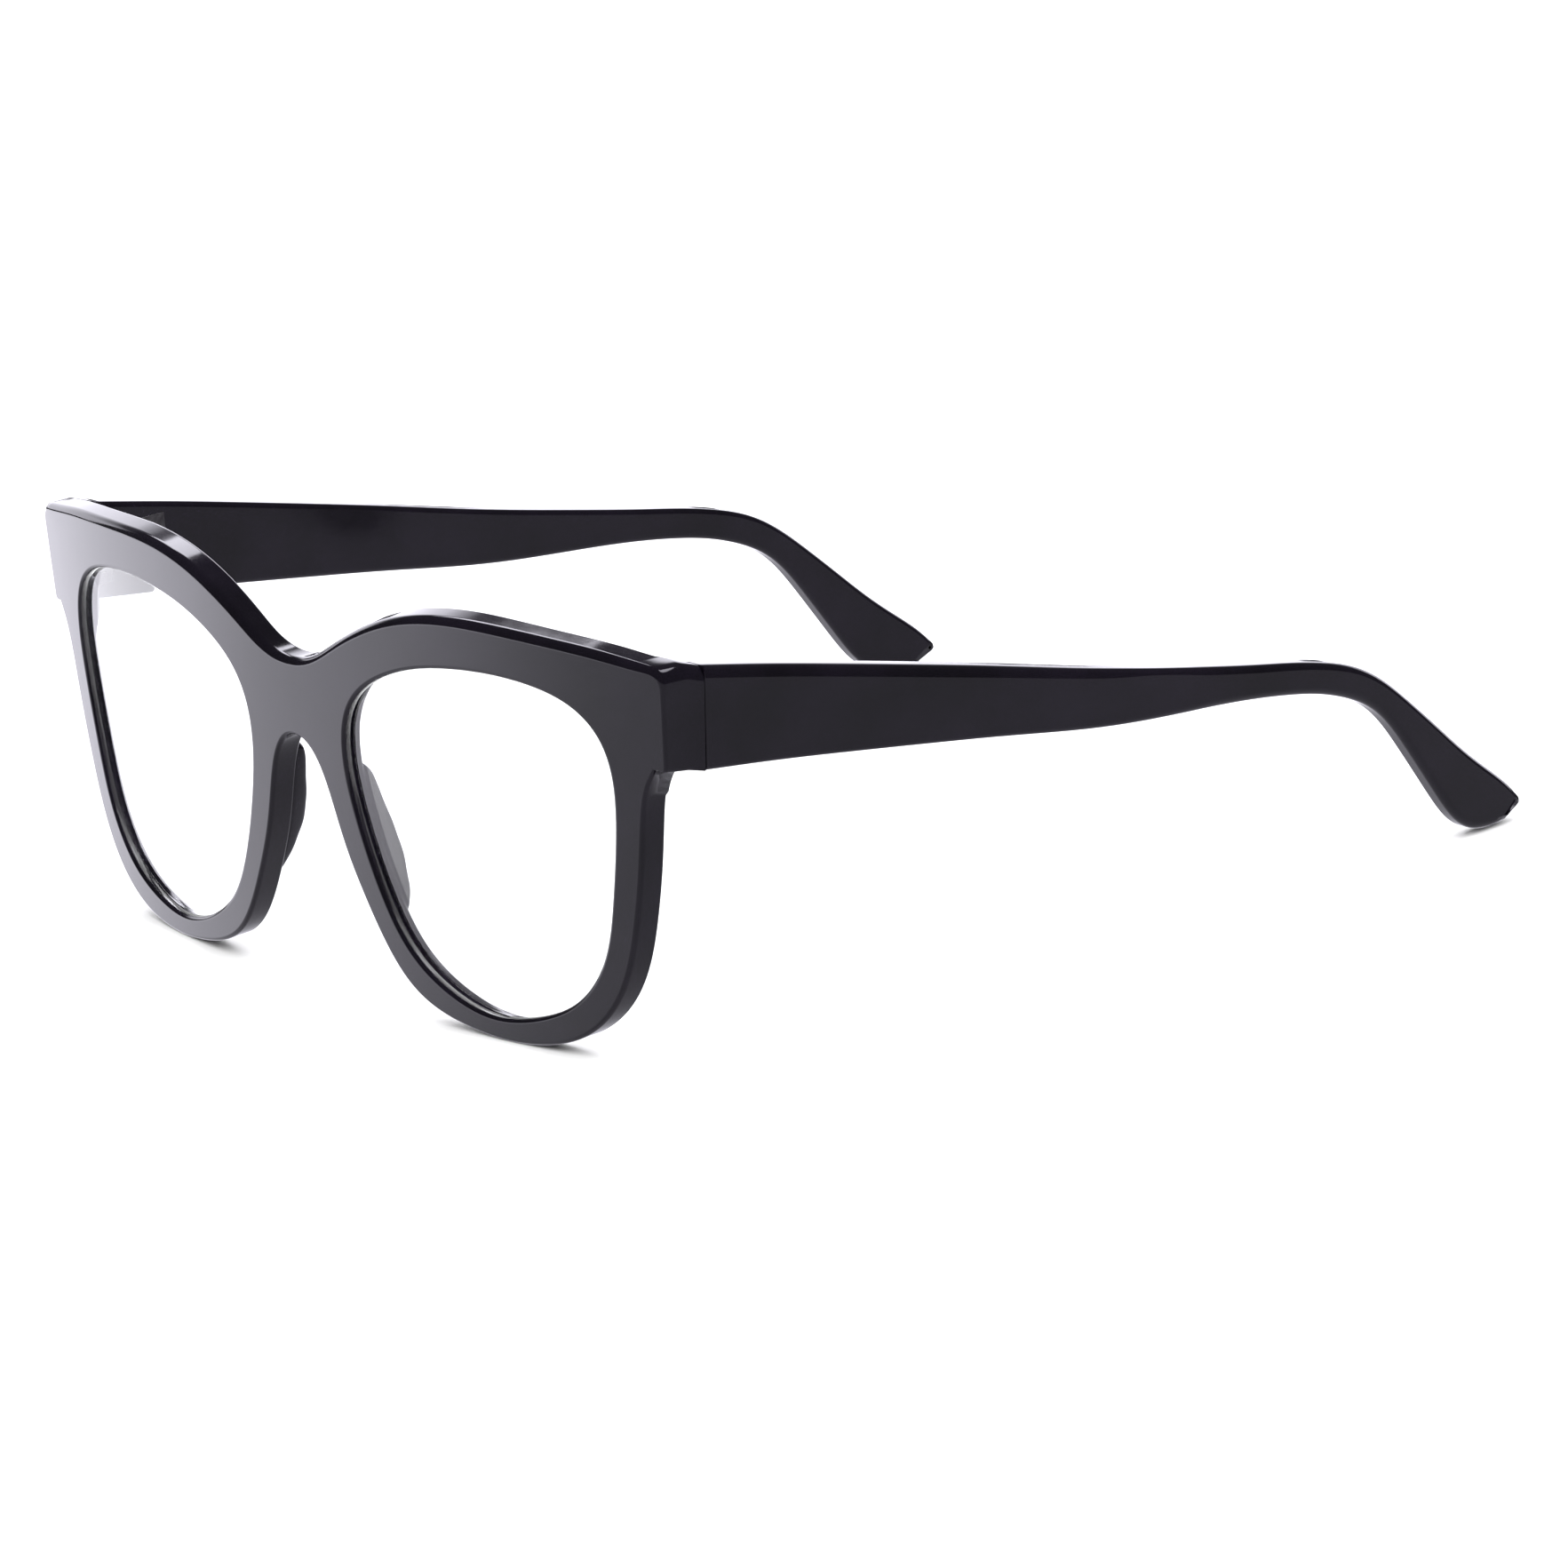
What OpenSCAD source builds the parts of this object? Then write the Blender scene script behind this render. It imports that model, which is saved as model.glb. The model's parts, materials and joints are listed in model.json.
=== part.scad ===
// Full-rim acetate eyeglasses with plain five-barrel hinges.
// Everything is drawn with the front upright: +X is the wearer's left, +Y runs back to
// the ears, and heights are counted up from the lowest point of the rims. stand() then
// leans the whole piece on its rims and temple tips, with the origin under its middle.

/* [Front] */
// Width over the lugs
front_w = 142; // [140:0.5:144]
// Rim thickness, face to back
rim_t = 4; // [3.8:0.1:4.2]
// Radius of the bow, seen from above
bow_r = 258; // [245:1:280]

/* [Lenses] */
// Lens thickness
lens_t = 1.8; // [1.6:0.1:2]
// Depth that a lens edge reaches into the rim
groove_d = 0.9; // [0.6:0.1:1]

/* [Nose pads] */
// Height of a pad above the back of the rim
pad_h = 3; // [2:0.1:4]

/* [Temples] */
// Temple thickness at the hinge
temple_t = 4.2; // [4:0.1:4.4]
// Temple thickness at the tip
tip_t = 3.4; // [3:0.1:4]
// How far the tips curve in towards the head
tip_bend = 4.5; // [0:0.5:6]

/* [Hinges] */
// Radius of the hinge barrels
barrel_r = 1.5; // [1.4:0.05:1.5]
// Height of one barrel
barrel_h = 1.3; // [1.1:0.1:1.3]
// Radius of the hinge screw
screw_r = 0.65; // [0.6:0.05:0.7]
// Gap between two barrels, which a washer fills
barrel_gap = 0.2; // [0.16:0.02:0.24]
// Gap between a lug and its temple
seam_gap = 0.15; // [0.1:0.05:0.3]

/* [Hidden] */
$fn = 64;
bow_fn = 360;

rest_tilt = 2.4;          // how far the front leans forward when the glasses stand
origin_y = 80.2;          // the middle of the footprint, back from the bridge
rest_z = -0.38;           // lowers the leaning rims onto the surface

half_w = front_w / 2;
fit = 0.02;               // slip around a plate or pin let into acetate
running = 0.05;           // radial clearance of the screw in a turning barrel

// Half of the front's outline, x and height, from the bridge's top to the lug
brow = [
    [0, 48], [5.5, 49], [13.5, 53.5], [24, 57.5], [36.5, 59], [56.5, 58], [67.5, 56.5],
    [half_w, 56]
];
// From the lug's underside round the rim to the underside of the bridge
under_rim = [
    [68.5, 42.5], [67, 40.5], [66, 38], [64, 25], [60.5, 12.5], [55, 5], [46.5, 1],
    [33.5, 0.5], [19.5, 5], [10, 19.5], [5.5, 32.5], [2.5, 37], [0, 37.5]
];
lug_corner = [half_w, 42.5];

// Opening for a lens, clockwise from its nose side
aperture = [
    [11, 34.5], [14, 44.5], [26, 50.5], [43, 52], [56, 49], [61, 40.5], [59, 23],
    [55.5, 12.5], [48, 6], [35, 3.5], [22.5, 8.5], [15.5, 18.5]
];

// Nose pad, seen from behind, clockwise from its top
pad_outline = [
    [6.2, 33.5], [9.5, 34], [11.5, 29], [13.5, 22.5], [16.5, 16], [15.5, 13],
    [12.8, 15.2], [10, 20.5], [7.5, 27]
];
pad_top = 35;
pad_foot = 12;

// Temple in side view, distance back and height
temple_top = [
    [17, 55], [33, 51], [62.5, 43], [85.5, 36.5], [109.5, 30.5], [122.5, 27.5],
    [133, 23.5], [143, 14.5], [151.5, 6], [160.5, -1.5], [162, -4], [158, -5.7],
    [152.5, -6], [148.5, -4], [142, 6], [134.5, 17], [127.5, 21], [122, 23],
    [109, 25.5], [84.5, 28.5], [61.5, 33], [31.5, 38.5], [15.7, 41]
];
tip_y = 162;
bend_y = 85;              // where a temple starts to curve in

// Core wire in side view, along the middle of the temple
wire_line = [
    [29.5, 45.5], [61.5, 38], [85, 32.5], [109, 28], [122.5, 25.2], [130, 22], [138, 15],
    [147, 4]
];
wire_h = 1.4;
wire_t = 1;

// Lug block in plan and in side view
lug_in = 61.6;            // inner side of the flat that the hinge plate sits in
lug_back = 12.5;          // how far back that flat is
lug_wall = 66.5;          // inner side of the part that meets the temple
seam_top = 17;
seam_foot = 15.7;
lug_side = [
    [6, 57], [seam_top - seam_gap, 55], [seam_foot - seam_gap, 41], [10, 42.5], [6, 43.5]
];

// Hinge
hinge_x = 64.6;
hinge_y = 15.3;
hinge_z = 48;
stack_h = 5 * barrel_h + 4 * barrel_gap;
plate_t = 1.4;
plate_x = [62, 66.2];
plate_z = [42.9, 53.1];
leaf_t = 1.2;
leaf_y = [18.2, 27.4];
leaf_z = [44, 51];
head_r = 1.05;
head_h = 0.5;
slot_w = 0.3;
washer_t = 0.12;
pin_r = 0.5;
pin_len = 2.6;
front_pin_z = [43.6, 52.4];
front_pin_x = 64.4;
leaf_pin_y = [23, 26];

// Smooth curve through hand-placed points
function blend(a, b, c, d, t) =
    (2 * b + (c - a) * t + (2 * a - 5 * b + 4 * c - d) * t * t
     + (3 * b - a - 3 * c + d) * t * t * t) / 2;
function curve(p, n = 5) =
    let (last = len(p) - 1, q = concat([2 * p[0] - p[1]], p, [2 * p[last] - p[last - 1]]))
    concat([for (i = [0 : last - 1], j = [0 : n - 1])
                blend(q[i], q[i + 1], q[i + 2], q[i + 3], j / n)],
           [p[last]]);
function ring(p, n = 5) =
    let (m = len(p))
    [for (i = [0 : m - 1], j = [0 : n - 1])
        blend(p[(i + m - 1) % m], p[i], p[(i + 1) % m], p[(i + 2) % m], j / n)];
function backward(p) = [for (i = [len(p) - 1 : -1 : 0]) p[i]];
function mirrored(p) = [for (q = p) [-q[0], q[1]]];
// A clockwise loop moved out by d
function grown(p, d) =
    let (m = len(p))
    [for (i = [0 : m - 1])
        let (t = p[(i + 1) % m] - p[(i + m - 1) % m], u = t / norm(t))
        p[i] + d * [-u[1], u[0]]];
// A line thickened to both sides
function ribbon(p, w) =
    let (last = len(p) - 1,
         n = [for (i = [0 : last])
                let (t = p[min(i + 1, last)] - p[max(i - 1, 0)], u = t / norm(t))
                [-u[1], u[0]] * w / 2])
    concat([for (i = [0 : last]) p[i] + n[i]],
           backward([for (i = [0 : last]) p[i] - n[i]]));

half_outline = concat(curve(brow), [lug_corner], curve(under_rim));
front_outline = concat(half_outline, backward(mirrored(half_outline)));

// Outer face of a temple in plan, at a distance back
function temple_x(y) = half_w - tip_bend * pow(max(0, y - bend_y) / (tip_y - bend_y), 2);
function temple_depth(y) = temple_t + (tip_t - temple_t) * max(0, y - 20) / (tip_y - 20);
plan_y = concat([10, 20, 50], [for (y = [bend_y : 8 : tip_y + 6]) y]);
temple_plan = concat([for (y = plan_y) [temple_x(y), y]],
                     backward([for (y = plan_y) [temple_x(y) - temple_depth(y), y]]));
wire_plan_line = [for (y = plan_y) [temple_x(y) - temple_depth(y) / 2, y]];

module stand() {
    translate([0, -origin_y, rest_z]) rotate([rest_tilt, 0, 0]) children();
}
module right_side() { mirror([1, 0, 0]) children(); }

// Extrusions along Y, X and Z between two places
module through_y(lo, hi) { translate([0, hi, 0]) rotate([90, 0, 0]) linear_extrude(hi - lo) children(); }
module through_x(lo, hi) { translate([lo, 0, 0]) rotate([90, 0, 90]) linear_extrude(hi - lo) children(); }
module through_z(lo, hi) { translate([0, 0, lo]) linear_extrude(hi - lo) children(); }
module block(x, y, z) {
    translate([x[0], y[0], z[0]]) cube([x[1] - x[0], y[1] - y[0], z[1] - z[0]]);
}

// Everything on the wearer's side of the bowed face, from a depth d into it
module behind_face(d, foot = -20, height = 100) {
    translate([0, bow_r, foot]) cylinder(r = bow_r - d, h = height, $fn = bow_fn);
}
module bowed_shell(d0, d1) {
    difference() {
        behind_face(d0);
        behind_face(d1, -21, 102);
    }
}

module lug() {
    intersection() {
        behind_face(0);
        through_x(lug_in, half_w) polygon(lug_side);
        through_z(30, 70) polygon([
            [lug_in, 5], [lug_in, lug_back], [lug_wall, lug_back], [lug_wall, 20],
            [half_w, 20], [half_w, 5]
        ]);
    }
}
module lens_seat() {
    intersection() {
        bowed_shell(rim_t / 2 - lens_t / 2 - running, rim_t / 2 + lens_t / 2 + running);
        through_y(-1, 20) polygon(grown(ring(aperture), groove_d + running));
    }
}
module half_cuts() {
    through_y(-5, 20) polygon(ring(aperture));
    lens_seat();
    block([plate_x[0] - fit, plate_x[1] + fit], [lug_back - plate_t - fit, lug_back + 1],
          [plate_z[0] - fit, plate_z[1] + fit]);
    for (z = front_pin_z) front_pin(z, pin_r + fit, pin_len + fit);
}
module front() {
    color([0.1, 0.09, 0.11]) difference() {
        union() {
            intersection() {
                bowed_shell(0, rim_t);
                through_y(-1, 20) polygon(front_outline);
            }
            lug();
            right_side() lug();
        }
        half_cuts();
        right_side() half_cuts();
    }
}
module lens() {
    color([0.9, 0.95, 1, 0.3]) intersection() {
        bowed_shell(rim_t / 2 - lens_t / 2, rim_t / 2 + lens_t / 2);
        through_y(-1, 20) polygon(grown(ring(aperture), groove_d));
    }
}
module nose_pad() {
    color([0.13, 0.12, 0.14]) intersection() {
        behind_face(rim_t);
        through_y(1, 10) polygon(ring(pad_outline));
        through_x(0, 30) polygon(concat(
            [[0, pad_foot], [0, pad_top]],
            curve([[rim_t, pad_top], [rim_t + pad_h * 0.7, 32.5], [rim_t + pad_h * 0.85, 28],
                   [rim_t + pad_h, 22], [rim_t + pad_h * 0.7, 17.5], [rim_t + 0.3, pad_foot]])));
    }
}

function barrel_z(k) = hinge_z - stack_h / 2 + k * (barrel_h + barrel_gap);
module at_barrel(k) { translate([hinge_x, hinge_y, barrel_z(k)]) children(); }
module front_pin(z, r, length) {
    translate([front_pin_x, lug_back, z]) rotate([90, 0, 0]) cylinder(r = r, h = length);
}
module leaf_pin(y, r, length) {
    translate([half_w - temple_t, y, (leaf_z[0] + leaf_z[1]) / 2]) rotate([0, 90, 0])
        cylinder(r = r, h = length);
}
module hinge_front() {
    color("silver") difference() {
        union() {
            block(plate_x, [lug_back - plate_t, lug_back], plate_z);
            for (k = [0, 2, 4]) {
                at_barrel(k) cylinder(r = barrel_r, h = barrel_h);
                block([hinge_x - barrel_r, hinge_x + barrel_r], [lug_back - 0.5, hinge_y],
                      [barrel_z(k), barrel_z(k) + barrel_h]);
            }
        }
        at_barrel(0) translate([0, 0, -1]) cylinder(r = screw_r + fit, h = 2.5);
        at_barrel(2) translate([0, 0, -1]) cylinder(r = screw_r + running, h = stack_h);
        at_barrel(4) translate([0, 0, barrel_h - head_h]) cylinder(r = head_r + running, h = 2);
        for (z = front_pin_z) front_pin(z, pin_r + fit, 5);
    }
}
module front_pins() {
    color("gray") for (z = front_pin_z) front_pin(z, pin_r, pin_len);
}
module hinge_screw() {
    color("gainsboro") difference() {
        union() {
            at_barrel(0) cylinder(r = screw_r, h = stack_h - 0.1);
            at_barrel(4) translate([0, 0, barrel_h - head_h + fit])
                cylinder(r = head_r, h = head_h);
        }
        at_barrel(4) translate([-2, -slot_w / 2, barrel_h - head_h / 2]) cube([4, slot_w, 2]);
    }
}
module hinge_washers() {
    color("white") for (k = [0 : 3]) at_barrel(k)
        translate([0, 0, barrel_h + (barrel_gap - washer_t) / 2]) difference() {
            cylinder(r = barrel_r - 0.1, h = washer_t);
            translate([0, 0, -1]) cylinder(r = screw_r + running, h = 2);
        }
}

module temple_blank() {
    intersection() {
        through_x(50, 80) polygon(curve(temple_top, 4));
        through_z(-20, 70) polygon(temple_plan);
    }
}
module wire(slip) {
    intersection() {
        through_x(50, 80) polygon(ribbon(curve(wire_line, 3), wire_h + 2 * slip));
        through_z(-20, 70) polygon(ribbon(wire_plan_line, wire_t + 2 * slip));
    }
}
module temple() {
    color([0.1, 0.09, 0.11]) difference() {
        temple_blank();
        block([half_w - temple_t - 1, half_w - temple_t + leaf_t + fit],
              [leaf_y[0] - fit, leaf_y[1] + fit], [leaf_z[0] - fit, leaf_z[1] + fit]);
        for (y = leaf_pin_y) leaf_pin(y, pin_r + fit, pin_len + fit);
        wire(running);
    }
}
module hinge_temple() {
    inner = half_w - temple_t;
    color("silver") difference() {
        union() {
            block([inner, inner + leaf_t], leaf_y, leaf_z);
            for (k = [1, 3]) {
                at_barrel(k) cylinder(r = barrel_r, h = barrel_h);
                through_z(barrel_z(k), barrel_z(k) + barrel_h) polygon([
                    [hinge_x - barrel_r, hinge_y], [hinge_x + 1.2, hinge_y],
                    [hinge_x + 1.4, 17.4], [inner, leaf_y[0]], [inner + 0.3, 21.5],
                    [inner - 1.6, 20.6], [hinge_x - barrel_r, 18]
                ]);
            }
        }
        at_barrel(1) translate([0, 0, -1]) cylinder(r = screw_r + running, h = stack_h);
        for (y = leaf_pin_y) translate([-1, 0, 0]) leaf_pin(y, pin_r + fit, 4);
    }
}
module temple_pins() {
    color("gray") for (y = leaf_pin_y) leaf_pin(y, pin_r, pin_len);
}
module core_wire() { color("gold") wire(0); }

stand() front();
stand() lens();  // lens_left
stand() right_side() lens();  // lens_right
stand() nose_pad();  // nose_pad_left
stand() right_side() nose_pad();  // nose_pad_right
stand() hinge_front();  // hinge_front_left
stand() right_side() hinge_front();  // hinge_front_right
stand() front_pins();  // front_pins_left
stand() right_side() front_pins();  // front_pins_right
stand() hinge_screw();  // hinge_screw_left
stand() right_side() hinge_screw();  // hinge_screw_right
stand() hinge_washers();  // hinge_washers_left
stand() right_side() hinge_washers();  // hinge_washers_right
stand() temple();  // temple_left
stand() right_side() temple();  // temple_right
stand() hinge_temple();  // hinge_temple_left
stand() right_side() hinge_temple();  // hinge_temple_right
stand() temple_pins();  // temple_pins_left
stand() right_side() temple_pins();  // temple_pins_right
stand() core_wire();  // core_wire_left
stand() right_side() core_wire();  // core_wire_right
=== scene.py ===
import json
import math
import bmesh
import bpy
from mathutils import Matrix, Vector


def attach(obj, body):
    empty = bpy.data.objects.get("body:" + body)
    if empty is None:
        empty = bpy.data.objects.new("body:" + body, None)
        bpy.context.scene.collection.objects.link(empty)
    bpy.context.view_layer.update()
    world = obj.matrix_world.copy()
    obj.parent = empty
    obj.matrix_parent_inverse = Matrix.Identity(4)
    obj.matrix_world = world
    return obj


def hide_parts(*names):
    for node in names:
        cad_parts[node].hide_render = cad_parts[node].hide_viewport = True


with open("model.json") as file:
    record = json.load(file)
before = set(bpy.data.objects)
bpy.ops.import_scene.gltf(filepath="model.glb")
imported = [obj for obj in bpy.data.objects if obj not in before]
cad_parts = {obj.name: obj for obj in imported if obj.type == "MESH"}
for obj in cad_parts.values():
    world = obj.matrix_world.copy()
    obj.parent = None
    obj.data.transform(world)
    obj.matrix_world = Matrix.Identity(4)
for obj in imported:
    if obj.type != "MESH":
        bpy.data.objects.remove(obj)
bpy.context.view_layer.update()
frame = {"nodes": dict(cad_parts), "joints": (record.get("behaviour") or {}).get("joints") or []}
mm = 0.001
print("frame loaded, parts:", len(frame["nodes"]))

# The pieces are drawn with the front upright, in millimetres: x to the wearer's left,
# y back to the ears, heights up from the lowest point of the rims. The hinge says how
# the standing glasses lie in the frame.
uprightHinge = Vector((64.6, 15.3, 48.0))
foldJoint = next(j for j in frame["joints"] if j["name"] == "temple_left_fold")
hingeAxis = Vector(foldJoint["axis"])
lean = Matrix.Rotation(math.atan2(-hingeAxis.y, hingeAxis.z), 4, "X")
hingePlace = Vector(foldJoint["pos_m"])
stand = Matrix.Translation(hingePlace - lean @ (uprightHinge * mm)) @ lean @ Matrix.Scale(mm, 4)


def evenCurve(points, count, closed=False, before=None, after=None):
    # points spaced evenly along a smooth curve through given ones
    knots = [Vector(p) for p in points]
    if closed:
        knots = [knots[-1]] + knots + knots[:2]
    else:
        first = Vector(before) if before else 2 * knots[0] - knots[1]
        last = Vector(after) if after else 2 * knots[-1] - knots[-2]
        knots = [first] + knots + [last]
    fine = []
    perSpan = 16
    for a, b, c, d in zip(knots, knots[1:], knots[2:], knots[3:]):
        for step in range(perSpan):
            t = step / perSpan
            fine.append((2 * b + (c - a) * t + (2 * a - 5 * b + 4 * c - d) * t * t
                         + (3 * b - a - 3 * c + d) * t ** 3) / 2)
    fine.append(knots[-2])
    run = [0.0]
    for p, q in zip(fine, fine[1:]):
        run.append(run[-1] + (q - p).length)
    out = []
    k = 0
    for i in range(count if closed else count + 1):
        want = run[-1] * i / count
        while k < len(fine) - 2 and run[k + 1] < want:
            k += 1
        share = (want - run[k]) / max(run[k + 1] - run[k], 1e-9)
        out.append(fine[k].lerp(fine[k + 1], share))
    return out


def ramp(value, start, width):
    # climbs from 0 to 1 as the value passes from start to start plus width
    return min(1, max(0, (value - start) / width))


def softRamp(value, start, width):
    f = ramp(value, start, width)
    return f * f * (3 - 2 * f)


def sideways(loop, distance):
    # a clockwise closed loop in x and height, moved out
    out = []
    for i, p in enumerate(loop):
        t = (loop[(i + 1) % len(loop)] - loop[i - 1]).normalized()
        out.append(p + distance * Vector((-t.y, t.x)))
    return out


def startRing(bm, places):
    verts = [bm.verts.new(p) for p in places]
    for a, b in zip(verts, verts[1:] + verts[:1]):
        bm.edges.new((a, b))
    return verts


def nextRing(bm, ring, places):
    # extrude the last ring and slide its copy to new places
    edges = [bm.edges.get(pair) for pair in zip(ring, ring[1:] + ring[:1])]
    made = bmesh.ops.extrude_edge_only(bm, edges=edges)["geom"]
    fresh = {v.co.to_tuple(5): v for v in made if isinstance(v, bmesh.types.BMVert)}
    ringOut = [fresh[v.co.to_tuple(5)] for v in ring]
    for v, p in zip(ringOut, places):
        v.co = p
    return ringOut


def eased(loop, passes, closed=False):
    # takes the small kinks out of a line; an end stays, or slides along the middle plane
    pts = [p.copy() for p in loop]
    for _ in range(passes):
        mid = [(pts[i - 1] + 2 * pts[i] + pts[(i + 1) % len(pts)]) / 4 for i in range(len(pts))]
        if not closed:
            for end, beside in ((0, 1), (-1, -2)):
                mid[end] = pts[end].copy()
                if abs(pts[end].x) < 1e-6:
                    mid[end].y = (pts[end].y + pts[beside].y) / 2
        pts = mid
    return pts


def roundEdges(bm, radiusOf, angle=28):
    # writes how much each sharp edge is rounded; the widest radius comes back for the modifier
    limit = math.radians(angle)
    weight = bm.edges.layers.float.new("bevel_weight_edge")
    radii = {}
    for e in bm.edges:
        if len(e.link_faces) == 2 and e.calc_face_angle(0) > limit:
            radii[e] = radiusOf(e, (e.verts[0].co + e.verts[1].co) / 2)
    widest = max(radii.values())
    for e, r in radii.items():
        e[weight] = r / widest
    return widest


def finishPiece(bm, name, body, material, levels=2, rounding=0, flip=False, replaces=()):
    # mesh to object: closed, facing out, in the frame's own place, and riding on its body
    if flip:
        bmesh.ops.scale(bm, verts=bm.verts[:], vec=(-1, 1, 1))
    bmesh.ops.remove_doubles(bm, verts=bm.verts[:], dist=0.0005)
    bmesh.ops.recalc_face_normals(bm, faces=bm.faces[:])
    bmesh.ops.transform(bm, matrix=stand, verts=bm.verts[:])
    for f in bm.faces:
        f.smooth = True
    mesh = bpy.data.meshes.new(name)
    bm.to_mesh(mesh)
    bm.free()
    piece = bpy.data.objects.new(name, mesh)
    bpy.context.scene.collection.objects.link(piece)
    piece.data.materials.append(material)
    if rounding:
        edge = piece.modifiers.new("roundedEdge", "BEVEL")
        edge.width = rounding * mm
        edge.segments = 5
        edge.limit_method = "WEIGHT"
        edge.use_clamp_overlap = False
        edge.harden_normals = True
    if levels:
        soften = piece.modifiers.new("soften", "SUBSURF")
        soften.levels = levels
        soften.render_levels = levels
    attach(piece, body)
    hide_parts(*replaces)
    return piece


def newMaterial(name, baseColor, roughness, **sockets):
    mat = bpy.data.materials.new(name)
    mat.use_nodes = True
    shader = mat.node_tree.nodes["Principled BSDF"]
    shader.inputs["Base Color"].default_value = (*baseColor, 1)
    shader.inputs["Roughness"].default_value = roughness
    for socket, value in sockets.items():
        shader.inputs[socket.replace("_", " ")].default_value = value
    return mat, shader


def noiseAt(mat, scale, detail=4, stretch=(1, 1, 1)):
    nodes, links = mat.node_tree.nodes, mat.node_tree.links
    place = nodes.new("ShaderNodeTexCoord")
    mapping = nodes.new("ShaderNodeMapping")
    mapping.inputs["Scale"].default_value = stretch
    noise = nodes.new("ShaderNodeTexNoise")
    noise.inputs["Scale"].default_value = scale
    noise.inputs["Detail"].default_value = detail
    noise.inputs["Roughness"].default_value = 0.55
    links.new(place.outputs["Object"], mapping.inputs["Vector"])
    links.new(mapping.outputs["Vector"], noise.inputs["Vector"])
    return noise.outputs["Fac"]


def spread(mat, source, low, high, fromLow=0.35, fromHigh=0.65):
    remap = mat.node_tree.nodes.new("ShaderNodeMapRange")
    remap.inputs["From Min"].default_value = fromLow
    remap.inputs["From Max"].default_value = fromHigh
    remap.inputs["To Min"].default_value = low
    remap.inputs["To Max"].default_value = high
    mat.node_tree.links.new(source, remap.inputs["Value"])
    return remap.outputs["Result"]


def bumpFrom(mat, shader, sources, depth):
    # adds up height sources and turns them into one bump
    links = mat.node_tree.links
    total = sources[0]
    for extra in sources[1:]:
        add = mat.node_tree.nodes.new("ShaderNodeMath")
        links.new(total, add.inputs[0])
        links.new(extra, add.inputs[1])
        total = add.outputs["Value"]
    bump = mat.node_tree.nodes.new("ShaderNodeBump")
    bump.inputs["Strength"].default_value = 1
    bump.inputs["Distance"].default_value = depth
    links.new(total, bump.inputs["Height"])
    links.new(bump.outputs["Normal"], shader.inputs["Normal"])


def mixColors(mat, factor, colorA, colorB):
    mix = mat.node_tree.nodes.new("ShaderNodeMix")
    mix.data_type = "RGBA"
    mix.inputs[6].default_value = (*colorA, 1)
    mix.inputs[7].default_value = (*colorB, 1)
    mat.node_tree.links.new(factor, mix.inputs["Factor"])
    return mix.outputs[2]


acetateLook = dict(
    ink=(0.0032, 0.0026, 0.0046),     # body colour of the sheet
    plum=(0.006, 0.0046, 0.0088),     # faint plum clouds in it
    index=1.5,
    gloss=0.06, dull=0.12,            # roughness between buffed and handled patches
    swirl=0.0000012,                  # height of the polishing marks, metres
)


def acetate():
    look = acetateLook
    mat, shader = newMaterial("polishedBlackAcetate", look["ink"], look["gloss"],
                              IOR=look["index"])
    links = mat.node_tree.links
    clouds = spread(mat, noiseAt(mat, 60, 5), 0, 1)
    links.new(mixColors(mat, clouds, look["ink"], look["plum"]), shader.inputs["Base Color"])
    handled = noiseAt(mat, 140, 6, (1, 1, 1.6))
    links.new(spread(mat, handled, look["gloss"], look["dull"]), shader.inputs["Roughness"])
    marks = spread(mat, noiseAt(mat, 420, 3, (1, 1, 6)), 0, 0.8)
    ripple = spread(mat, noiseAt(mat, 70, 2), 0, 6)
    bumpFrom(mat, shader, [marks, ripple], look["swirl"])
    return mat


lensLook = dict(tint=(0.985, 0.995, 0.99), coolTint=(0.975, 0.985, 0.995), index=1.5, smear=0.03)


def lensResin():
    look = lensLook
    mat, shader = newMaterial("coatedLens", look["tint"], 0.0, IOR=look["index"],
                              Transmission_Weight=1.0, Specular_IOR_Level=0.2)
    links = mat.node_tree.links
    smears = spread(mat, noiseAt(mat, 90, 6), 0, look["smear"], 0.5, 0.8)
    links.new(smears, shader.inputs["Roughness"])
    tone = spread(mat, noiseAt(mat, 25, 2), 0, 1)
    links.new(mixColors(mat, tone, look["tint"], look["coolTint"]), shader.inputs["Base Color"])
    return mat


metalLook = dict(
    clean=(0.20, 0.195, 0.20), tarnish=(0.12, 0.115, 0.12),
    polish=0.25, worn=0.45,           # roughness
    scratch=0.000006,                 # height of the brushed lines, metres
)


def hingeMetal(name, grain=(1, 1, 12)):
    look = metalLook
    mat, shader = newMaterial(name, look["clean"], look["polish"], Metallic=1.0)
    links = mat.node_tree.links
    clouds = spread(mat, noiseAt(mat, 900, 5), 0, 1)
    links.new(mixColors(mat, clouds, look["clean"], look["tarnish"]), shader.inputs["Base Color"])
    brushed = noiseAt(mat, 2500, 4, grain)
    links.new(spread(mat, brushed, look["polish"], look["worn"]), shader.inputs["Roughness"])
    bumpFrom(mat, shader, [brushed], look["scratch"])
    return mat


nylonLook = dict(milk=(0.82, 0.80, 0.74), shade=(0.70, 0.68, 0.62), grain=0.000004)


def nylon():
    look = nylonLook
    mat, shader = newMaterial("washerNylon", look["milk"], 0.45, Subsurface_Weight=0.3)
    links = mat.node_tree.links
    clouds = spread(mat, noiseAt(mat, 1800, 3), 0, 1)
    links.new(mixColors(mat, clouds, look["milk"], look["shade"]), shader.inputs["Base Color"])
    links.new(spread(mat, clouds, 0.38, 0.55, 0, 1), shader.inputs["Roughness"])
    bumpFrom(mat, shader, [clouds], look["grain"])
    return mat


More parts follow.
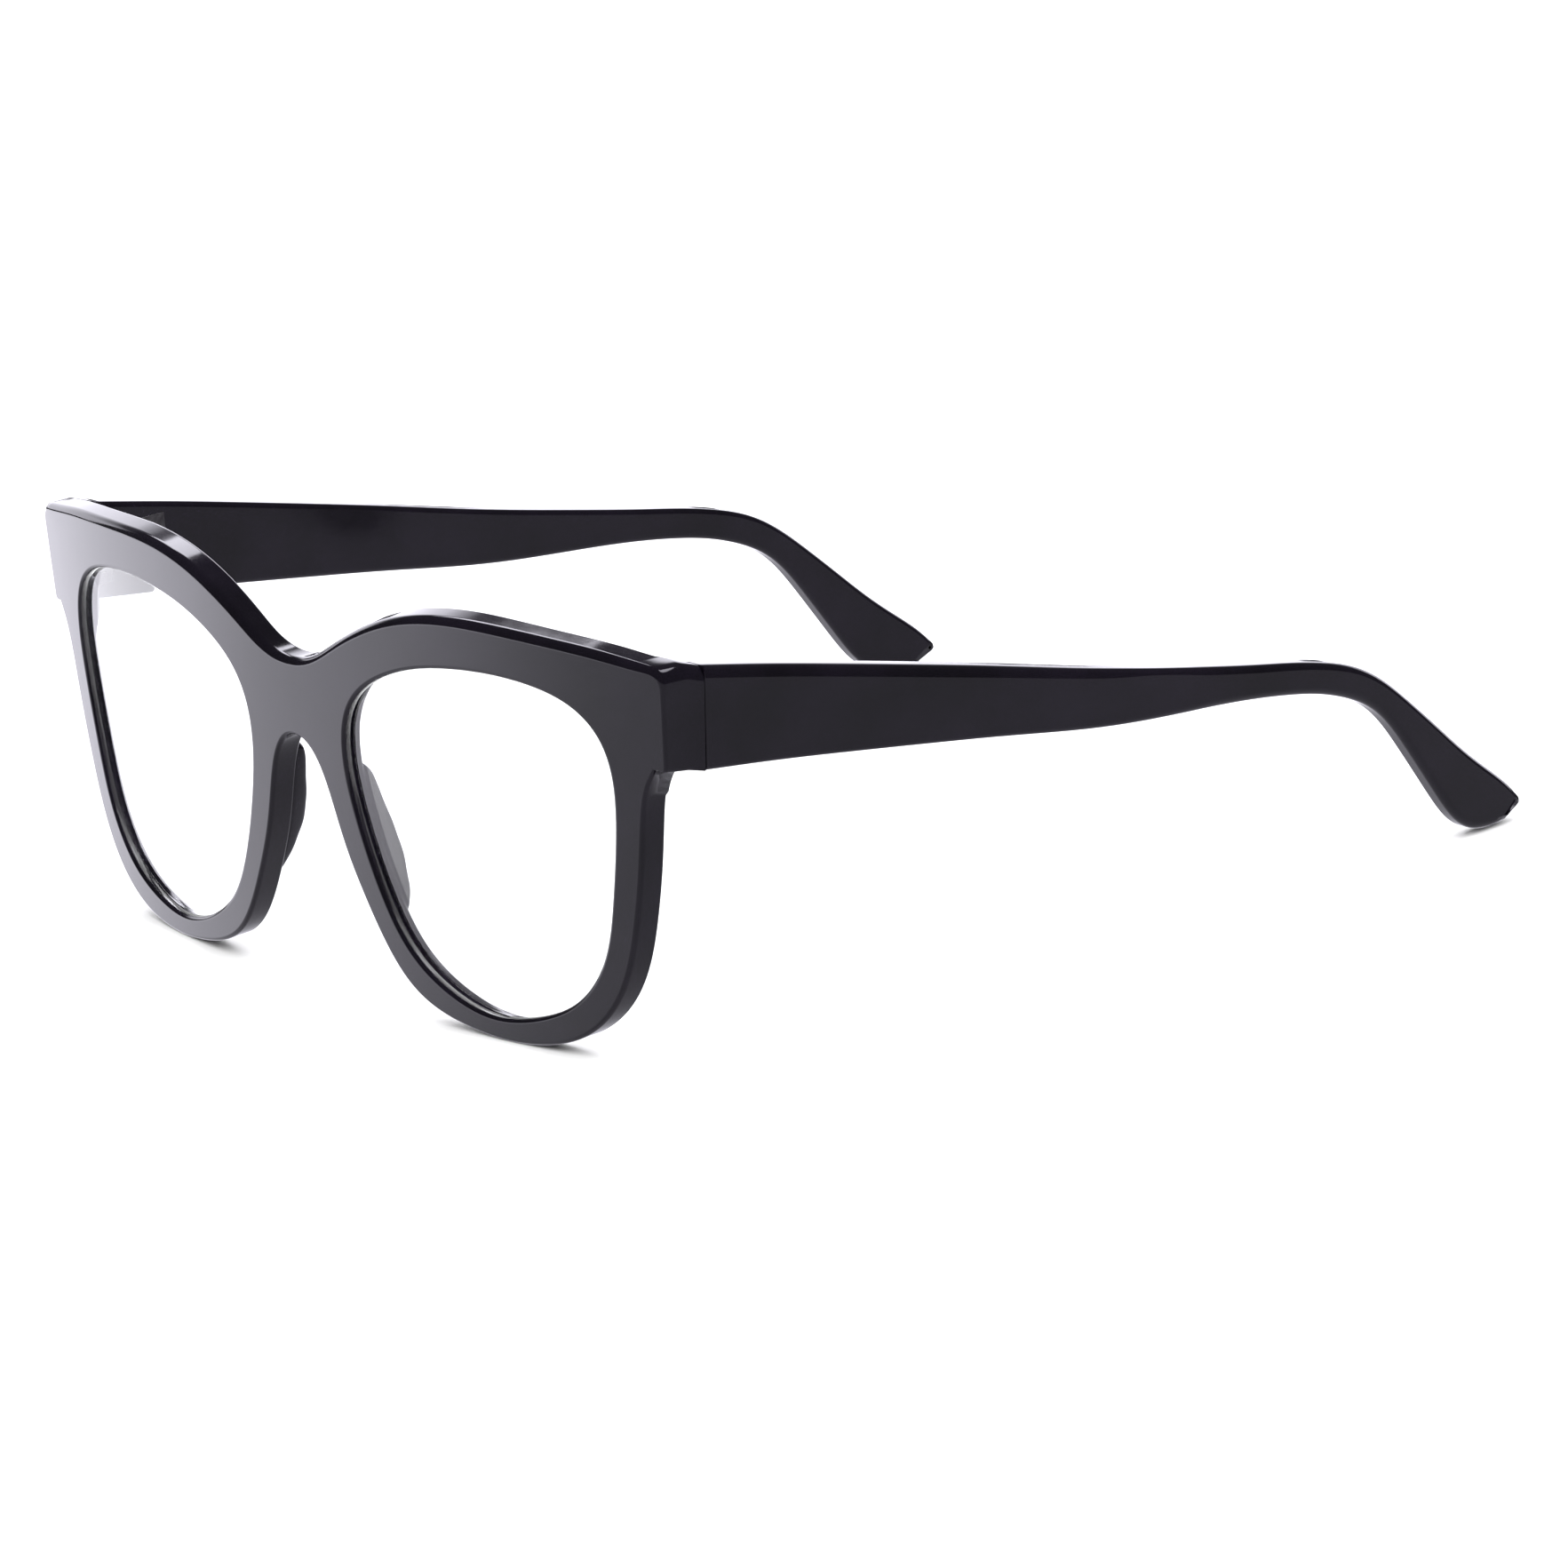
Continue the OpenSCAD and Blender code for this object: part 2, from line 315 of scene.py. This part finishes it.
blackAcetate = acetate()
clearResin = lensResin()
hingePlateMetal = hingeMetal("hingePlateMetal")
pinMetal = hingeMetal("filedPin", (6, 1, 1))
turnedSteel = hingeMetal("turnedSteel", (1, 1, 20))
wireMetal = hingeMetal("drawnWire", (1, 14, 1))
washerNylon = nylon()
print("materials made")


frontShape = dict(
    brow=[(0, 48), (5.5, 49), (13.5, 53.5), (24, 57.5), (36.5, 59), (56.5, 58), (66.5, 56.7)],
    lugTop=(71, 56), lugFoot=(70.2, 42.1), lugRoot=(68.4, 42.2),
    underRim=[(68.4, 42.2), (67, 40.7), (66.1, 38), (64, 25), (60.5, 12.5), (55, 5), (46.5, 1),
              (33.5, 0.5), (19.5, 5), (10, 19.5), (5.5, 32.5), (2.5, 37), (0, 37.5)],
    aperture=[(11, 34.5), (14, 44.5), (26, 50.5), (43, 52), (56, 49), (61, 40.5), (59, 23),
              (55.5, 12.5), (48, 6), (35, 3.5), (22.5, 8.5), (15.5, 18.5)],
    lensCentre=(36, 28),
    beforeBrow=(-5.5, 49), afterRim=(-2.5, 37),   # beyond the middle, for the curves' ends
    browSteps=66, rimSteps=110,
    thickness=4.0,
    bowRadius=258.0,
    browLift=0.45,                     # how much prouder the back of the brow stands
    browRound=1.15, rimRound=0.6, lugRound=0.4, lugBackRound=0.3, seamRound=0.1,
    lugCorner=2.0, lugFootCorner=0.5,
    lipWidth=0.8, marginWidth=1.3,     # beside the lens opening and inside the outer line
    faceRings=(0, 0.14, 0.28, 0.42, 0.56, 0.7, 0.85),   # shares of the way from lip to margin
    middleGap=0.8, squeezeFrom=4.0,    # the margin keeps this far off the middle plane
    grooveDepth=1.0, grooveFront=1.1, grooveBack=2.9,
    bossIn=59.2, bossSlope=2.2, bossFoot=37.0, bossFade=5.0,   # where the hinge flat rises
    bossBack=12.45,                    # how far back the flat stands
    lugWall=66.5, lugWallTop=54.6,     # inner side of the block that meets the temple
    lugEase=8,                         # points over which the rings turn into the lug
    topDrop=0.35, footDrop=0.7,        # how much the block narrows toward the seam
    seamTop=(16.85, 55.0), seamFoot=(15.55, 41.0),   # how far back, and height
)


def bow(x):
    r = frontShape["bowRadius"]
    return r - math.sqrt(r * r - x * x)


def bowed(loop, depth):
    return [Vector((p.x, bow(p.x) + depth, p.y)) for p in loop]


def atAngle(loop, centre, angle):
    # where a closed loop crosses a ray from the centre
    ray = Vector((math.cos(angle), math.sin(angle)))
    for p, q in zip(loop, loop[1:] + loop[:1]):
        a, b = p - centre, q - centre
        sa, sb = ray.x * a.y - ray.y * a.x, ray.x * b.y - ray.y * b.x
        if sa * sb <= 0 and sa != sb and ray.dot(a) > 0:
            return p.lerp(q, sa / (sa - sb))
    return loop[0]


def cornerArc(start, corner, end, steps):
    # a rounded corner, its first point left out
    shares = [i / steps for i in range(1, steps + 1)]
    return [start.lerp(corner, t).lerp(corner.lerp(end, t), t) for t in shares]


def frontLoops():
    # the outer line of half the front and the lens opening, point against point
    s = frontShape
    brow = eased(evenCurve(s["brow"], s["browSteps"], before=s["beforeBrow"]), 14)
    top, foot, root = Vector(s["lugTop"]), Vector(s["lugFoot"]), Vector(s["lugRoot"])
    topStart = top + (brow[-1] - top).normalized() * s["lugCorner"]
    topEnd = top - Vector((0, s["lugCorner"]))
    footStart = foot + Vector((0, s["lugFootCorner"]))
    footEnd = foot - Vector((s["lugFootCorner"], 0))
    lug = [brow[-1].lerp(topStart, i / 3) for i in range(1, 4)]
    lug += cornerArc(topStart, top, topEnd, 5)
    lug += [topEnd.lerp(footStart, i / 7) for i in range(1, 8)]
    lug += cornerArc(footStart, foot, footEnd, 3)
    lug += [footEnd.lerp(root, i / 2) for i in range(1, 3)]
    rim = eased(evenCurve(s["underRim"], s["rimSteps"], after=s["afterRim"]), 10)
    middle = [rim[-1].lerp(brow[0], i / 6) for i in range(1, 6)]
    outer = brow + lug + rim[1:] + middle
    lugStart = s["browSteps"]
    lugEnd = lugStart + len(lug)
    centre = Vector(s["lensCentre"])
    angles = []
    for p in outer:
        a = math.atan2(p.y - centre.y, p.x - centre.x)
        while angles and a > angles[-1] + math.pi:
            a -= 2 * math.pi
        angles.append(a)
    arch = next(i for i in range(lugEnd, len(outer)) if outer[i].x < 8)
    for first, last in ((lugStart - 12, lugEnd + 12), (arch, len(outer) - 1)):
        for i in range(first, last):           # even steps, which never double back
            share = (i - first) / (last - first)
            angles[i] = angles[first] + share * (angles[last] - angles[first])
    opening = eased(evenCurve(s["aperture"], 240, closed=True), 10, closed=True)
    inner = [atAngle(opening, centre, a) for a in angles]
    return outer, inner, lugStart, lugEnd


def keepOffMiddle(outer, margin):
    # the margin is squeezed toward the middle plane, and never folds back on itself
    s = frontShape
    low, high = s["underRim"][-1][1], s["brow"][0][1]
    tight = 1 - s["middleGap"] / s["squeezeFrom"]
    for i, p in enumerate(outer):
        if p.x < 0.0001:
            f = (p.y - low) / (high - low)
            height = low + s["marginWidth"] + f * (high - low - 2 * s["marginWidth"])
            margin[i] = Vector((s["middleGap"], height))
        elif margin[i].x < s["squeezeFrom"]:
            margin[i].x = s["middleGap"] + tight * margin[i].x


def lineUpWithLug(outer, lip, margin, spans, lugStart, lugEnd):
    # the rings beside the lug follow the inner side of its block
    s = frontShape
    last = s["faceRings"][-1]
    far = spans[last]
    for i in range(lugStart - s["lugEase"], lugEnd + s["lugEase"] + 1):
        down = ramp(i, lugStart, lugEnd - lugStart)
        near = min(1, 1 - max(lugStart - i, i - lugEnd, 0) / (s["lugEase"] + 1))
        height = s["lugWallTop"] + down * (s["lugFoot"][1] - s["lugWallTop"])
        far[i] = far[i].lerp(Vector((s["lugWall"], height)), near)
        for share, loop in spans.items():
            if loop is not far:
                loop[i] = loop[i].lerp(lip[i].lerp(far[i], share / last), near)
        share = min(0.65, 1.25 * s["marginWidth"] / (far[i] - outer[i]).length)
        margin[i] = margin[i].lerp(outer[i].lerp(far[i], share), near)


def makeFront():
    s = frontShape
    outer, inner, lugStart, lugEnd = frontLoops()
    lip = sideways(inner, s["lipWidth"])       # lip and margin keep the rounded edges even
    margin = sideways(outer, -s["marginWidth"])
    keepOffMiddle(outer, margin)
    spans = {f: [a.lerp(b, f) for a, b in zip(lip, margin)] for f in s["faceRings"]}
    far = spans[s["faceRings"][-1]]
    lineUpWithLug(outer, lip, margin, spans, lugStart, lugEnd)
    groove = sideways(inner, s["grooveDepth"])
    t = s["thickness"]
    middle = (s["grooveFront"] + s["grooveBack"]) / 2

    bm = bmesh.new()
    seam = bm.edges.layers.int.new("seam")
    first = startRing(bm, bowed(groove, middle))
    ring = nextRing(bm, first, bowed(inner, s["grooveFront"]))
    ring = nextRing(bm, ring, bowed(inner, 0))
    for share in s["faceRings"]:
        ring = nextRing(bm, ring, bowed(spans[share], 0))
    ring = nextRing(bm, ring, bowed(margin, 0))
    ring = nextRing(bm, ring, bowed(outer, 0))
    rear = nextRing(bm, ring, bowed(outer, t))
    rearMargin = nextRing(bm, rear, bowed(margin, t))
    lugRing = ring = nextRing(bm, rearMargin, bowed(far, t))
    for share in reversed(s["faceRings"][:-1]):
        ring = nextRing(bm, ring, bowed(spans[share], t))
    ring = nextRing(bm, ring, bowed(inner, t))
    ring = nextRing(bm, ring, bowed(inner, s["grooveBack"]))
    ring = nextRing(bm, ring, bowed(groove, middle))

    # the flat for the hinge plate, then the block that runs back to the temple
    edgeVerts = set(rear)
    for v in rear:
        v.co.z += s["browLift"] * ramp(v.co.z, 50, 5) * (1 - ramp(v.co.x, 38, 28))
    for v in bm.verts:
        if v.co.y > bow(v.co.x) + t - 0.01 and v not in edgeVerts:
            across = softRamp(v.co.x, s["bossIn"], s["bossSlope"])
            rise = across * softRamp(v.co.z, s["bossFoot"], s["bossFade"])
            v.co.y += rise * max(0, s["bossBack"] - v.co.y)
    footHeight = s["lugFoot"][1]
    lugHeight = s["lugTop"][1] - footHeight
    for i in range(lugStart, lugEnd + 1):      # the block's top and foot run straight to the seam
        f = ramp(rear[i].co.z, footHeight, lugHeight)
        along = (i - lugStart) / (lugEnd - lugStart)
        rear[i].co.z -= s["footDrop"] * (1 - f) + s["topDrop"] * f * along
    lugRing[lugEnd].co.z -= s["footDrop"]
    patch = []
    for i in range(lugStart, lugEnd):
        for a, b in ((rear, rearMargin), (rearMargin, lugRing)):
            corner = {a[i], a[i + 1], b[i], b[i + 1]}
            patch += [f for f in a[i].link_faces if set(f.verts) == corner]
    grown = bmesh.ops.extrude_face_region(bm, geom=patch)["geom"]
    bmesh.ops.delete(bm, geom=patch, context="FACES")
    topY, topZ = s["seamTop"]
    footY, footZ = s["seamFoot"]
    moved = {g for g in grown if isinstance(g, bmesh.types.BMVert)}
    for v in moved:
        f = ramp(v.co.z, footHeight, lugHeight)
        v.co.z = footZ + f * (topZ - footZ)
        v.co.y = footY + f * (topY - footY)
        if v.co.x > s["lugRoot"][0] + 0.1:     # flush with the temple at the seam
            v.co.x += (1 - f) * (s["lugTop"][0] - s["lugFoot"][0])
    for e in bm.edges:
        e[seam] = int(e.verts[0] in moved and e.verts[1] in moved)

    # open the middle, then double the half; the groove stays sharp
    cut = [f for f in bm.faces if all(abs(v.co.x) < 1e-5 for v in f.verts)]
    bmesh.ops.delete(bm, geom=cut, context="FACES")
    bmesh.ops.mirror(bm, geom=bm.verts[:] + bm.edges[:] + bm.faces[:], axis="X", merge_dist=0.001)
    bmesh.ops.remove_doubles(bm, verts=bm.verts[:], dist=0.0005)
    bmesh.ops.recalc_face_normals(bm, faces=bm.faces[:])

    def radiusOf(edge, at):
        depth = at.y - bow(min(abs(at.x), 71))
        if edge[seam]:
            return s["seamRound"]
        if 0.5 < depth < t - 0.5 or not edge.is_convex:
            return 0
        x = abs(at.x)
        if x > 66 and at.z > 38:
            if depth > 0.5 and x > s["lugWall"] - 0.2:
                return 0                       # inside the lug block
            if at.z < 55.2:
                return s["lugRound"] if depth < 0.5 else s["lugBackRound"]
        if depth > 0.5:
            fade = min(1, max(0.08, (s["lugWall"] - x) / 14)) if at.z > 48 else 1
            return s["rimRound"] * fade
        towardTop = 0 if insideRim(at) else ramp(at.z, 40, 8)
        return s["rimRound"] + (s["browRound"] - s["rimRound"]) * towardTop

    rounding = roundEdges(bm, radiusOf)
    finishPiece(bm, "acetateFront", "front", blackAcetate, levels=0,
                rounding=rounding, replaces=["front"])


def insideRim(at):
    # whether a point lies on the lens side of the rim's middle line
    p = Vector((abs(at.x), at.z))
    centre = Vector(frontShape["lensCentre"])
    edge = atAngle(openingLoop, centre, math.atan2(p.y - centre.y, p.x - centre.x))
    return (p - centre).length < (edge - centre).length + 0.7


openingLoop = evenCurve(frontShape["aperture"], 120, closed=True)
makeFront()
print("front made")


templeShape = dict(
    top=[(17, 55), (33, 51), (62.5, 43), (85.5, 36.5), (109.5, 30.5), (122.5, 27.5),
         (133, 23.5), (143, 14.5), (151.5, 6), (160.5, -1.5), (162, -4)],
    under=[(15.7, 41), (31.5, 38.5), (61.5, 33), (84.5, 28.5), (109, 25.5), (122, 23),
           (127.5, 21), (134.5, 17), (142, 6), (148.5, -4), (152.5, -6), (158, -5.7)],
    outside=71.0, hingeThickness=4.15, tipThickness=3.4, taperStart=20.0,
    tipBend=4.5, bendStart=85.0, tipY=162.0,   # how far the ear end comes in, and from where
    stations=150,
    topRound=1.8, underRound=0.6, innerRound=0.8, tipRound=1.1, seamRound=0.1,
    shaftDrop=0.17,                    # slope of the middle line behind the hinge
)


def templeOutside(y):
    s = templeShape
    along = max(0, y - s["bendStart"]) / (s["tipY"] - s["bendStart"])
    return s["outside"] - s["tipBend"] * along ** 2


def templeSection(top, under):
    # one cross-section, clockwise from the outer top edge
    s = templeShape
    ring = []
    shares = (0, 0.3, 0.7, 1)                  # down the outer face, then up the inner one
    for share in shares:
        y, z = top.lerp(under, share)
        ring.append(Vector((templeOutside(y), y, z)))
    for share in reversed(shares):
        y, z = top.lerp(under, share)
        taper = max(0, y - s["taperStart"]) / (s["tipY"] - s["taperStart"])
        depth = s["hingeThickness"] + (s["tipThickness"] - s["hingeThickness"]) * taper
        ring.append(Vector((templeOutside(y) - depth, y, z)))
    return ring


def makeTemple(side):
    s = templeShape
    tops = eased(evenCurve(s["top"], s["stations"]), 20)
    unders = eased(evenCurve(s["under"], s["stations"]), 20)
    bm = bmesh.new()
    ring = startRing(bm, templeSection(tops[0], unders[0]))
    seam = set(ring)
    bmesh.ops.contextual_create(bm, geom=ring)
    for top, under in zip(tops[1:], unders[1:]):
        ring = nextRing(bm, ring, templeSection(top, under))
    bmesh.ops.contextual_create(bm, geom=ring)
    tip = set(ring)
    bmesh.ops.recalc_face_normals(bm, faces=bm.faces[:])

    def radiusOf(edge, at):
        if edge.verts[0] in seam and edge.verts[1] in seam:
            return s["seamRound"]
        if edge.verts[0] in tip and edge.verts[1] in tip:
            return s["tipRound"]
        if at.x < templeOutside(at.y) - 2:
            return s["innerRound"]
        middle = tops[0].lerp(unders[0], 0.5).y - (at.y - 16) * s["shaftDrop"]
        onTop = at.y >= 100 or at.z > middle
        edgeRound = s["topRound"] if onTop else s["underRound"]
        return edgeRound + (s["tipRound"] - edgeRound) * ramp(at.y, 60, 60)

    rounding = roundEdges(bm, radiusOf, 50)
    finishPiece(bm, "acetateTemple_" + side, "temple_" + side, blackAcetate,
                levels=0, rounding=rounding, flip=side == "right", replaces=["temple_" + side])


for side in ("left", "right"):
    makeTemple(side)
print("temples made")


lensShape = dict(edgeOut=0.85, shoulder=0.35, front=1.15, back=2.85, camber=0.7,
                 rings=(0.97, 0.88, 0.72, 0.54, 0.36, 0.18, 0.05))


def makeLens(side):
    s = lensShape
    centre = Vector(frontShape["lensCentre"])
    rim = evenCurve(frontShape["aperture"], 96, closed=True)
    shoulder = sideways(rim, s["shoulder"])
    middle = (s["front"] + s["back"]) / 2

    def face(share, depth):
        loop = [centre.lerp(p, share) for p in shoulder]
        crown = Vector((0, s["camber"] * (1 - share * share), 0))
        return [v - crown for v in bowed(loop, depth)]

    bm = bmesh.new()
    edge = startRing(bm, bowed(sideways(rim, s["edgeOut"]), middle))
    for depth in (s["front"], s["back"]):
        ring = nextRing(bm, edge, face(1, depth))
        for share in s["rings"]:
            ring = nextRing(bm, ring, face(share, depth))
        bmesh.ops.pointmerge(bm, verts=ring, merge_co=face(0, depth)[0])
    piece = finishPiece(bm, "lensResin_" + side, "front", clearResin, levels=1,
                        flip=side == "right", replaces=["lens_" + side])
    piece.visible_shadow = False               # coated resin throws next to no shadow


for side in ("left", "right"):
    makeLens(side)
print("lenses made")


padShape = dict(
    outline=[(6.2, 33.5), (9.5, 34), (11.5, 29), (13.5, 22.5), (16.5, 16), (15.5, 13),
             (12.8, 15.2), (10, 20.5), (7.5, 27)],
    spine=[(8.6, 31.5), (14.6, 15.5)],         # middle line, top to foot
    height=[(12, 0.2), (14.5, 0.9), (18, 2.1), (21.5, 3), (25, 2.9), (29, 2.4), (32.5, 2.1),
            (34.5, 0.9)],                      # at a height, how proud of the rim
    sunk=0.6,
    levels=[(1.0, 0.35), (0.99, 0.62), (0.93, 0.84), (0.78, 0.97), (0.45, 1.03),
            (0.15, 1.04)],                     # share of the outline, share of the rise
)


def padHeight(z):
    marks = padShape["height"]
    for (z0, h0), (z1, h1) in zip(marks, marks[1:]):
        if z <= z1:
            return h0 + softRamp(z, z0, z1 - z0) * (h1 - h0)
    return marks[-1][1]


def makeNosePad(side):
    s = padShape
    t = frontShape["thickness"]
    loop = evenCurve(s["outline"], 36, closed=True)
    a, b = (Vector(p) for p in s["spine"])

    def level(share, rise):
        out = []
        for p in loop:
            along = ramp((p - a).dot(b - a), 0, (b - a).length_squared)
            q = a.lerp(b, along).lerp(p, share)
            depth = bow(q.x) + t - s["sunk"] + rise * (s["sunk"] + padHeight(q.y))
            out.append(Vector((q.x, depth, q.y)))
        return out

    bm = bmesh.new()
    ring = startRing(bm, level(1, 0))
    bmesh.ops.contextual_create(bm, geom=ring)
    for share, rise in s["levels"]:
        ring = nextRing(bm, ring, level(share, rise))
    bmesh.ops.contextual_create(bm, geom=ring)
    finishPiece(bm, "nosePad_" + side, "front", blackAcetate, levels=2,
                flip=side == "right", replaces=["nose_pad_" + side])


for side in ("left", "right"):
    makeNosePad(side)
print("nose pads made")


hingeFinish = dict(softEdge=0.00012, angle=35)   # edge width in metres, degrees


def softenedCopy(node, name, body, material):
    # the hinge piece itself, with its loose triangles joined and its edges broken
    bm = bmesh.new()
    bm.from_mesh(frame["nodes"][node].data)
    bmesh.ops.remove_doubles(bm, verts=bm.verts[:], dist=0.000001)
    bmesh.ops.dissolve_limit(bm, angle_limit=math.radians(1), verts=bm.verts[:],
                             edges=bm.edges[:])
    mesh = bpy.data.meshes.new(name)
    bm.to_mesh(mesh)
    bm.free()
    piece = bpy.data.objects.new(name, mesh)
    bpy.context.scene.collection.objects.link(piece)
    piece.data.materials.append(material)
    piece.data.set_sharp_from_angle(angle=math.radians(hingeFinish["angle"]))
    edge = piece.modifiers.new("brokenEdge", "BEVEL")
    edge.width = hingeFinish["softEdge"]
    edge.segments = 2
    edge.limit_method = "ANGLE"
    edge.angle_limit = math.radians(hingeFinish["angle"])
    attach(piece, body)
    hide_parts(node)


def paintNode(node, material):
    slots = frame["nodes"][node].data.materials
    slots.clear()
    slots.append(material)


for side in ("left", "right"):
    softenedCopy("hinge_front_" + side, "frontLeaf_" + side, "front",
                 hingePlateMetal)
    softenedCopy("hinge_temple_" + side, "templeLeaf_" + side, "temple_" + side,
                 hingePlateMetal)
    softenedCopy("hinge_screw_" + side, "slottedScrew_" + side, "front",
                 turnedSteel)
    paintNode("front_pins_" + side, pinMetal)
    paintNode("temple_pins_" + side, pinMetal)
    paintNode("hinge_washers_" + side, washerNylon)
    paintNode("core_wire_" + side, wireMetal)
print("hinges made")


cameraPlace = dict(azimuth=52.19, elevation=15.97, roll=-3.65, aim=(0.0384, -0.0284, 0.0248),
                   distance=1.25, lens=211.2)


def makeCamera():
    s = cameraPlace
    a, e, r = (math.radians(s[k]) for k in ("azimuth", "elevation", "roll"))
    back = Vector((math.sin(a) * math.cos(e), -math.cos(a) * math.cos(e), math.sin(e)))
    right = Vector((math.cos(a), math.sin(a), 0))
    up = back.cross(right)
    right, up = right * math.cos(r) + up * math.sin(r), up * math.cos(r) - right * math.sin(r)
    data = bpy.data.cameras.new("camera")
    data.lens = s["lens"]
    data.sensor_width = 36
    data.clip_start = 0.05
    data.clip_end = 20
    camera = bpy.data.objects.new("camera", data)
    bpy.context.scene.collection.objects.link(camera)
    place = Matrix((right, up, back)).transposed().to_4x4()
    place.translation = Vector(s["aim"]) + back * s["distance"]
    camera.matrix_world = place
    bpy.context.scene.camera = camera


def flatCard(name, size, place, turn=(0, 0, 0)):
    bm = bmesh.new()
    bmesh.ops.create_grid(bm, x_segments=1, y_segments=1, size=0.5)
    bmesh.ops.scale(bm, verts=bm.verts[:], vec=(size[0], size[1], 1))
    mesh = bpy.data.meshes.new(name)
    bm.to_mesh(mesh)
    bm.free()
    card = bpy.data.objects.new(name, mesh)
    bpy.context.scene.collection.objects.link(card)
    card.location = place
    card.rotation_euler = [math.radians(a) for a in turn]
    return card


def makeFloor():
    floor = flatCard("floor", (8, 8), (0, 0, 0))
    mat, shader = newMaterial("paleFloor", (0.9, 0.9, 0.9), 0.7, Specular_IOR_Level=0.2)
    scuffs = spread(mat, noiseAt(mat, 30, 3), 0.65, 0.75)
    mat.node_tree.links.new(scuffs, shader.inputs["Roughness"])
    floor.data.materials.append(mat)
    floor.visible_glossy = False               # the card below stands in for it in reflections


def glowingCard(name, size, place, turn, tones):
    # tones are (share across the card, brightness); it is seen in reflections only
    card = flatCard(name, size, place, turn)
    mat = bpy.data.materials.new(name)
    mat.use_nodes = True
    nodes, links = mat.node_tree.nodes, mat.node_tree.links
    nodes.remove(nodes["Principled BSDF"])
    glow = nodes.new("ShaderNodeEmission")
    glow.inputs["Color"].default_value = (*studioLook["tint"], 1)
    where = nodes.new("ShaderNodeTexCoord")
    split = nodes.new("ShaderNodeSeparateXYZ")
    across = nodes.new("ShaderNodeMapRange")
    across.inputs["From Min"].default_value = -size[0] / 2
    across.inputs["From Max"].default_value = size[0] / 2
    fall = nodes.new("ShaderNodeValToRGB")
    fall.color_ramp.interpolation = "EASE"
    steps = fall.color_ramp.elements
    peak = max(tone for _, tone in tones)
    for share, tone in tones[1:-1]:
        steps.new(share)
    for step, (_, tone) in zip(steps, tones):
        step.color = (tone / peak, tone / peak, tone / peak, 1)
    times = nodes.new("ShaderNodeMath")
    times.operation = "MULTIPLY"
    times.inputs[1].default_value = peak
    links.new(where.outputs["Object"], split.inputs["Vector"])
    links.new(split.outputs["X"], across.inputs["Value"])
    links.new(across.outputs["Result"], fall.inputs["Fac"])
    links.new(fall.outputs["Color"], times.inputs[0])
    links.new(times.outputs["Value"], glow.inputs["Strength"])
    links.new(glow.outputs["Emission"], nodes["Material Output"].inputs["Surface"])
    card.data.materials.append(mat)
    for ray in ("camera", "diffuse", "transmission", "shadow", "volume_scatter"):
        setattr(card, "visible_" + ray, False)


def makeBackdrop():
    # a white room around the table, which the gloss doesn't see
    bm = bmesh.new()
    bmesh.ops.create_uvsphere(bm, u_segments=48, v_segments=24, radius=3.6)
    mesh = bpy.data.meshes.new("backdrop")
    bm.to_mesh(mesh)
    bm.free()
    room = bpy.data.objects.new("backdrop", mesh)
    bpy.context.scene.collection.objects.link(room)
    mat = bpy.data.materials.new("backdropWhite")
    mat.use_nodes = True
    nodes = mat.node_tree.nodes
    nodes.remove(nodes["Principled BSDF"])
    glow = nodes.new("ShaderNodeEmission")
    glow.inputs["Strength"].default_value = 1
    mat.node_tree.links.new(glow.outputs["Emission"], nodes["Material Output"].inputs["Surface"])
    room.data.materials.append(mat)
    for ray in ("glossy", "diffuse", "shadow", "volume_scatter"):
        setattr(room, "visible_" + ray, False)


def softLight(name, place, target, size, power, inGloss=True):
    data = bpy.data.lights.new(name, "AREA")
    data.shape = "RECTANGLE"
    data.size, data.size_y = size
    data.energy = power
    data.color = studioLook["tint"] if inGloss else (1, 1, 1)
    lamp = bpy.data.objects.new(name, data)
    bpy.context.scene.collection.objects.link(lamp)
    lamp.location = place
    lamp.rotation_euler = (Vector(target) - Vector(place)).to_track_quat("-Z", "Y").to_euler()
    lamp.visible_camera = False
    lamp.visible_glossy = inGloss


studioLook = dict(
    tint=(0.92, 0.905, 1.0), surround=0.06, overhead=430,
    # the pale sweep as the gloss sees it: bright on the wearer's right, dim on the left
    sweepTones=[(0.0, 3.4), (0.27, 3.3), (0.33, 2.5), (0.43, 0.98), (0.5, 0.55), (0.62, 0.42),
                (1.0, 0.4)],
    # the foot of the backdrop, seen along the tops of the rims
    backdropTones=[(0.0, 0.12), (0.2, 0.25), (0.29, 1.3), (0.34, 1.8), (0.39, 2.3),
                   (0.46, 2.8), (1.0, 2.9)],
)
makeCamera()
makeFloor()
makeBackdrop()
glowingCard("sweepGlow", (8, 8), (0, 0, -0.5), (0, 0, 0), studioLook["sweepTones"])
glowingCard("backdropGlow", (1.0, 3.4), (-1.06, 0.82, 0.5), (0, 90, -37.7),
            studioLook["backdropTones"])
softLight("overhead", (0.0, 0.0, 1.9), (0, 0, 0), (8.0, 8.0), studioLook["overhead"],
          inGloss=False)
softLight("stripBox", (-0.87, 0.38, 0.86), (0.03, -0.06, 0.05), (0.45, 0.3), 2.8)
softLight("backBox", (0.17, 0.67, 1.22), (0, -0.06, 0.05), (0.5, 0.4), 3.2)
world = bpy.data.worlds.new("studio")
world.use_nodes = True
world.node_tree.nodes["Background"].inputs["Color"].default_value = (1, 1, 1, 1)
world.node_tree.nodes["Background"].inputs["Strength"].default_value = studioLook["surround"]
bpy.context.scene.world = world
bpy.context.scene.view_settings.view_transform = "Standard"
print("studio made")
